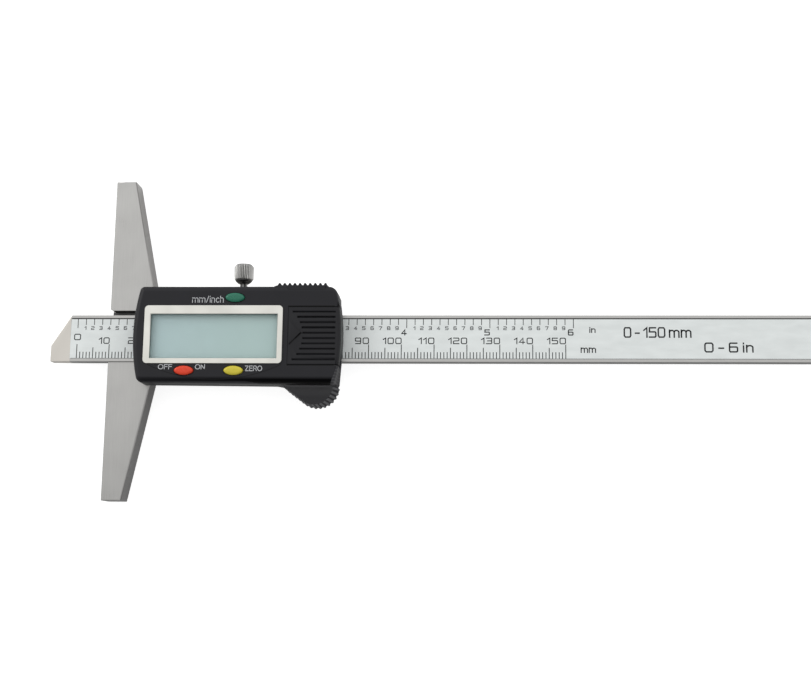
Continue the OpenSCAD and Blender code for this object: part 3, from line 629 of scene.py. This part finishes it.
def graduation(bm, x, side, length, width):
    """One line in its groove, by the film's lower edge (side -1) or its upper edge (side 1)."""
    short = 0.1
    foot = side * (film_high.y - FILM_EDGE)
    ends = [(x, foot - side * short), (x, foot - side * (length - short))]
    stroke(bm, ends, width, FILM_Z, GRADUATION_LEVELS)


def graduations():
    bm = bmesh.new()
    for i in range(MEASURING_RANGE + 1):
        length = LONG_LINE if i % 10 == 0 else MEDIUM_LINE if i % 5 == 0 else SHORT_LINE
        graduation(bm, ZERO_X + i, -1, length, METRIC_WIDTH)
    for i in range(LAST_INCH * 10 + 1):
        length = INCH_LINE if i % 10 == 0 else SHORT_LINE
        graduation(bm, ZERO_X + i * INCH / 10, 1, length, INCH_WIDTH)
    new_piece("graduation_ink", bm, ink, "beam")


def film_edge_line(name, side, width, paint):
    """A line along one edge of the film, ending a little before its ends."""
    short = 0.2
    bm = bmesh.new()
    y = side * (film_high.y - FILM_EDGE)
    stroke(bm, [(film_low.x + short, y), (film_high.x - short, y)], width, FILM_Z, EDGE_LEVELS)
    new_piece(name, bm, paint, "beam")


def scale_numerals():
    bm = bmesh.new()
    numeral(bm, "0", ZERO_X, ZERO)
    for i in range(10, MEASURING_RANGE + 1, 10):
        numeral(bm, str(i), ZERO_X + i, METRIC)
    for i in range(1, LAST_INCH + 1):
        numeral(bm, str(i), ZERO_X + i * INCH, INCHES)
    new_piece("scale_numerals", bm, ink, "beam")


def inch_tenths():
    bm = bmesh.new()
    for i in range(LAST_INCH * 10):
        if i % 10:
            numeral(bm, str(i % 10), ZERO_X + i * INCH / 10, TENTHS)
    new_piece("inch_tenths", bm, small_ink, "beam")


graduations()
film_edge_line("scale_upper_edge", 1, 0.32, ink)
film_edge_line("scale_lower_edge", -1, 0.09, small_ink)
scale_numerals()
inch_tenths()

# Strokes of plain letters one unit high
LETTERS = {
    "O": [bow(0.47, 0.5, 0.47, 0.5, 90, 450, 24)],
    "F": [[(0, 0), (0, 1), (0.62, 1)], [(0, 0.53), (0.55, 0.53)]],
    "N": [[(0, 0), (0, 1)], [(0, 1), (0.7, 0)], [(0.7, 0), (0.7, 1)]],
    "Z": [[(0.02, 1), (0.68, 1)], [(0.68, 1), (0, 0)], [(0, 0), (0.7, 0)]],
    "E": [[(0.64, 0), (0, 0), (0, 1), (0.62, 1)], [(0, 0.53), (0.58, 0.53)]],
    "R": [[(0, 0), (0, 1)], [(0, 1)] + bow(0.42, 0.74, 0.26, 0.26, 90, -90) + [(0, 0.48)],
          [(0.44, 0.48), (0.7, 0)]],
    "m": [[(0, 0), (0, 0.74)], bow(0.22, 0.5, 0.22, 0.22, 180, 0) + [(0.44, 0)],
          bow(0.66, 0.5, 0.22, 0.22, 180, 0) + [(0.88, 0)]],
    "n": [[(0, 0), (0, 0.74)], bow(0.23, 0.5, 0.23, 0.22, 180, 0) + [(0.46, 0)]],
    "h": [[(0, 0), (0, 1)], bow(0.23, 0.5, 0.23, 0.22, 180, 0) + [(0.46, 0)]],
    "i": [[(0, 0), (0, 0.68)], [(0, 0.94), (0, 1)]],
    "c": [bow(0.27, 0.36, 0.27, 0.36, 48, 312)],
    "/": [[(0, 0), (0.34, 1)]],
    "-": [[(0, 0.42), (0.34, 0.42)]],
}
# Numerals among the words are narrower than those of the scale
for mark, strokes in NUMERALS.items():
    LETTERS[mark] = [[(0.6 * px, py) for px, py in points] for points in strokes]
LETTER_GAP = 0.24
SPACE = 0.22
LABEL_LINE = 0.2


def lettering(name, text, origin, low, high, line, paint, body, surface):
    """Plain letters in the box from low to high, measured from origin; line is their strokes' width."""
    lines, x = [], 0
    for mark in text:
        if mark == " ":
            x += SPACE
            continue
        lines += [[(x + px, py) for px, py in points] for points in LETTERS[mark]]
        x += max(px for points in LETTERS[mark] for px, py in points) + LETTER_GAP
    xs = [px for points in lines for px, py in points]
    ys = [py for points in lines for px, py in points]
    kx = (high[0] - low[0] - line) / (max(xs) - min(xs))
    ky = (high[1] - low[1] - line) / (max(ys) - min(ys))
    left = origin.x + low[0] + line / 2
    foot = origin.y + low[1] + line / 2
    bm = bmesh.new()
    for points in lines:
        place = [(left + px * kx, foot + (py - min(ys)) * ky) for px, py in points]
        stroke(bm, place, line, surface, LETTER_LEVELS)
    new_piece(name, bm, paint, body)


# Words on the film in boxes from the zero line, and labels in boxes from the middle of their button
zero = Vector((ZERO_X, 0))
for name, text, low, high, line in (
    ("unit_mark_inch", "in", (157.2, 1.8), (159.1, 3.6), 0.31),
    ("unit_mark_metric", "mm", (154.5, -4.35), (159.15, -2.68), 0.32),
    ("range_metric", "0 - 150 mm", (167.55, 0.3), (188.05, 3.6), 0.45),
    ("range_inch", "0 - 6 in", (191.75, -4.2), (206.55, -1.1), 0.45),
):
    lettering(name, text, zero, low, high, line, ink, "beam", FILM_Z)
for name, text, button, low, high in (
    ("label_units", "mm/inch", "mode_button", (-13.05, -1.55), (-3.45, 0.55)),
    ("label_off", "OFF", "power_button", (-7.8, 0.325), (-3.5, 1.875)),
    ("label_on", "ON", "power_button", (3.4, 0.325), (6.4, 1.875)),
    ("label_zero", "ZERO", "zero_button", (3.5, -0.175), (8.7, 1.475)),
):
    middle = middle_mm(button)
    lettering(name, text, middle, low, high, LABEL_LINE, label_ink, "base", FRONT_Z)


# Moulded details of the housing

def groove_shade(name, body, *bands):
    """Dark foot of grooves in the housing's front; a band is a line of points with its width."""
    bm = bmesh.new()
    for points, width in bands:
        stroke(bm, points, width, FRONT_Z, SHADE_LEVELS)
    new_piece(name, bm, shade, body)


def grip_ribs():
    """Low ribs between the grip grooves, round the end of the thumb rest and up its slanted flank, their
    pale grey painted light.
    """
    foot_middle, foot_radius = Vector((65.15, -15.1, 8.35)), 6.4
    top_middle, top_radius = Vector((64.25, -15.0, 12.17)), 5.7
    slope, pitch, round_count, flank_count = 37, 1.35, 10, 5
    section = ((-0.38, -0.12), (0.38, -0.12), (0.2, 0.15), (-0.2, 0.15))
    start = 270 - slope
    turns = [start + (i + 0.5) * (90 + slope) / round_count for i in range(round_count)]
    places = [(turn, 0) for turn in turns] + [(start, (i + 0.5) * pitch) for i in range(flank_count)]
    back = Vector((-math.cos(math.radians(slope)), math.sin(math.radians(slope)), 0))
    bm = bmesh.new()
    for turn, step in places:
        out = Vector((math.cos(math.radians(turn)), math.sin(math.radians(turn)), 0))
        along = Vector((-out.y, out.x, 0))
        rows = []
        for middle, radius in ((foot_middle, foot_radius), (top_middle, top_radius)):
            centre = middle + out * radius + back * step
            rows.append([bm.verts.new((centre + along * a + out * b) * MM) for a, b in section])
        tube(bm, rows)
    new_piece("grip_ribs", bm, grip, "base")


curve_middle, curve_radius, curve_ends = (34.475, 33.9), 47.58, (245.2, 294.8)
curve = bow(*curve_middle, curve_radius, curve_radius, *curve_ends, 60)
groove_shade("curved_line_shade", "base", (curve, 0.17))
arrow_shaft = [(cover_low.x + 0.4, -3.02), (cover_low.x + 3.91, 0.54)]
arrow_head = [(cover_low.x + 2.35, -1.02), (cover_low.x + 3.87, 0.4)]
groove_shade("arrow_shade", "battery_cover", (arrow_shaft, 0.2), (arrow_head, 0.4))
rail_start, rail_end, rail_inset = cover_low.x + 0.05, 70.4, 0.49
rails = [[(rail_start, y), (rail_end, y)] for y in (cover_low.y + rail_inset, cover_high.y - rail_inset)]
groove_shade("cover_rail_shade", "base", *((rail, 0.3) for rail in rails))
grip_ribs()


# Stage: floor, room, lamp and camera

def white_floor():
    """White to the camera, faintly glowing in reflections, and it keeps the object's shadow."""
    p = Paint("floor")
    to_camera, in_reflections = 0.8, 0.11
    diffuse = p.node("ShaderNodeBsdfDiffuse")
    diffuse.inputs["Color"].default_value = (0.62, 0.62, 0.62, 1)
    glow = p.node("ShaderNodeEmission")
    path = p.node("ShaderNodeLightPath").outputs
    seen = p.math("MULTIPLY", path["Is Camera Ray"], to_camera)
    reflected = p.math("ADD", path["Is Glossy Ray"], path["Is Transmission Ray"])
    p.feed(p.math("ADD", seen, p.math("MULTIPLY", reflected, in_reflections)), glow.inputs["Strength"])
    p.surface("ShaderNodeAddShader", diffuse.outputs[0], glow.outputs[0])
    half = 3
    corners = [(-half, -half, 0), (half, -half, 0), (half, half, 0), (-half, half, 0)]
    mesh = bpy.data.meshes.new("floor")
    mesh.from_pydata(corners, [], [(0, 1, 2, 3)])
    floor = bpy.data.objects.new("floor", mesh)
    floor.location = (0.1, 0, -0.0002)
    bpy.context.scene.collection.objects.link(floor)
    wear(floor, p)


def pale_room():
    """A pale room, darker in front and white to the camera."""
    front, back, darkest, to_camera = -0.9, 0.3, 0.25, 1.06
    world = bpy.data.worlds.new("room")
    world.use_nodes = True
    bpy.context.scene.world = world
    n = Nodes(world.node_tree)
    fade = n.span(n.split("Generated")["Y"], front, back, darkest)
    white = n.math("MULTIPLY", n.node("ShaderNodeLightPath").outputs["Is Camera Ray"], to_camera)
    background = world.node_tree.nodes["Background"]
    background.inputs["Strength"].default_value = 0.95
    n.feed(n.math("MAXIMUM", fade, white), background.inputs["Color"])


def key_lamp():
    """A soft lamp above on the left, aimed at the housing."""
    place, target = Vector((-0.85, 0.6, 0.7)), Vector((0.08, 0, 0))
    light = bpy.data.lights.new("key", "AREA")
    light.shape = "DISK"
    light.size = 0.6
    light.energy = 3.5
    lamp = bpy.data.objects.new("key", light)
    bpy.context.scene.collection.objects.link(lamp)
    lamp.location = place
    lamp.rotation_euler = (target - place).to_track_quat("-Z", "Y").to_euler()


def photo_camera():
    """The camera of the photograph, with its focal length in the photograph's pixels."""
    focal_pixels, photo_width, sensor_width = 1422.6, 811, 36
    camera = bpy.data.cameras.new("camera")
    camera.sensor_width = sensor_width
    camera.lens = focal_pixels / photo_width * sensor_width
    camera.shift_x = -0.0380
    camera.shift_y = -0.0682
    camera.clip_start = 0.01
    camera.clip_end = 20
    obj = bpy.data.objects.new("camera", camera)
    bpy.context.scene.collection.objects.link(obj)
    turn = (
        Matrix.Rotation(math.radians(-11.306), 3, "X")
        @ Matrix.Rotation(math.radians(-2.248), 3, "Y")
        @ Matrix.Rotation(math.radians(-0.404), 3, "Z")
    )
    obj.matrix_world = Matrix.Translation((0.11822, -0.06821, 0.43693)) @ turn.transposed().to_4x4()
    bpy.context.scene.camera = obj


white_floor()
pale_room()
key_lamp()
photo_camera()
bpy.context.scene.view_settings.view_transform = "Standard"
